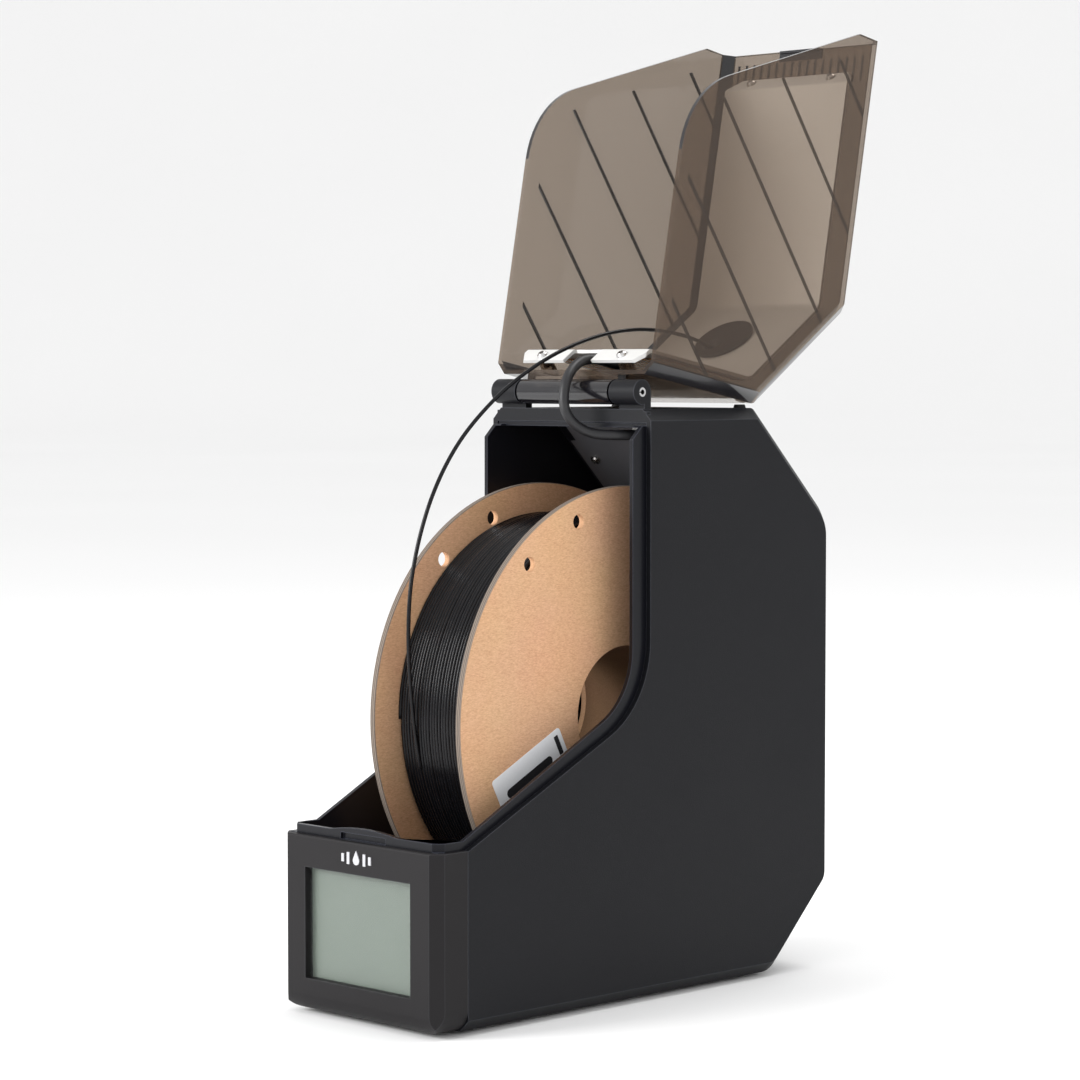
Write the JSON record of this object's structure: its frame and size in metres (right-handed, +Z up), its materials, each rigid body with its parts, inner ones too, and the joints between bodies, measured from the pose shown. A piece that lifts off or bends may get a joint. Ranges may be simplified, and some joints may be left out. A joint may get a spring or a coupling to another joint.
{
  "type": "filament dryer box",
  "caption": "Narrow dryer box with a flip-up smoked lid, bent heater plates, a front display and a filament spool on rollers.",
  "frame": {"origin": "centre of the whole object's footprint, at the underside of the rubber feet, with the lid open", "axes": "+Z up, -Y towards the front with the display, +X across the box from left to right as seen from the front"},
  "size_m": [0.098, 0.2852, 0.4286],
  "materials": {
    "housing_plastic": "dark, evenly grained moulded plastic",
    "liner_plastic": "dark moulded plastic, smoother than the housing",
    "fascia_plastic": "dark grey satin plastic",
    "fascia_mark": "light grey inlay, satin",
    "display_glass": "clear flat lens over the display",
    "display_glow": "grey green reflective display panel, switched off",
    "board": "solder mask over glass fibre board",
    "sensor_plastic": "white moulded sensor case",
    "rubber": "black rubber",
    "steel": "zinc plated or ground steel",
    "heater_plate": "satin grey white coated aluminium sheet",
    "heater_film": "amber heating film",
    "clip_plastic": "natural nylon",
    "rail_plastic": "dark moulded plastic",
    "roller_plastic": "dark grey firm elastomer",
    "cardboard": "bare kraft cardboard with fibre flecks and paler cut edges",
    "filament": "glossy black filament, 1.75 mm",
    "label_paper": "white paper with grey blocks",
    "smoked_plastic": "smoked brown transparent plastic, polished",
    "catch_plastic": "dark snap catch",
    "port_plastic": "dark moulded plastic",
    "cable_jacket": "black flexible cable jacket"
  },
  "bodies": {
    "root": {"housing": "housing_plastic", "side_panel_left": "housing_plastic", "side_panel_right": "housing_plastic", "base_cover": "housing_plastic", "base_screws": "steel", "rubber_feet": "rubber", "inner_liner": "liner_plastic", "front_fascia": "fascia_plastic", "fascia_mark": "fascia_mark", "display_lens": "display_glass", "display_panel": "display_glow", "control_board": "board", "humidity_sensor": "sensor_plastic", "body_heater_plate": "heater_plate", "body_heater_film": "heater_film", "body_plate_screws": "steel", "power_board": "board", "dc_inlet": "port_plastic", "lid_stop_pads": "rubber", "hinge_pin": "steel", "cable_clip": "clip_plastic", "roller_rail_left": "rail_plastic", "roller_rail_right": "rail_plastic", "rail_screws": "steel", "bearing_front_left": "steel", "bearing_front_right": "steel", "bearing_rear_left": "steel", "bearing_rear_right": "steel", "heater_cable": "cable_jacket", "filament_strand": "filament"},
    "lid": {"lid_shell": "smoked_plastic", "lid_heater_plate": "heater_plate", "lid_heater_film": "heater_film", "lid_plate_screws": "steel", "lid_catch": "catch_plastic", "filament_port": "port_plastic", "port_grommet": "rubber"},
    "spool": {"spool_flange_left": "cardboard", "spool_flange_right": "cardboard", "spool_core": "cardboard", "filament_winding": "filament", "spool_label": "label_paper"},
    "front_roller_axle": {"front_axle": "steel", "roller_front_left": "roller_plastic", "roller_front_right": "roller_plastic"},
    "rear_roller_axle": {"rear_axle": "steel", "roller_rear_left": "roller_plastic", "roller_rear_right": "roller_plastic"}
  },
  "joints": [
    {"name": "lid_hinge", "type": "hinge", "parent": "root", "child": "lid", "pos_m": [0, -0.01577, 0.2649], "axis": [1, 0, 0], "range_deg": [0, 190.7], "deforming": ["heater_cable", "filament_strand"]},
    {"name": "spool_spin", "type": "hinge", "parent": "root", "child": "spool", "pos_m": [0, -0.00927, 0.1239], "axis": [1, 0, 0], "continuous": true},
    {"name": "front_axle_spin", "type": "hinge", "parent": "root", "child": "front_roller_axle", "pos_m": [0, -0.07024, 0.03682], "axis": [1, 0, 0], "continuous": true},
    {"name": "rear_axle_spin", "type": "hinge", "parent": "root", "child": "rear_roller_axle", "pos_m": [0, 0.05171, 0.03682], "axis": [1, 0, 0], "continuous": true}
  ],
  "couplings": [
    {"joint": "front_axle_spin", "follows": "spool_spin", "ratio": -16.667},
    {"joint": "rear_axle_spin", "follows": "spool_spin", "ratio": -16.667}
  ]
}
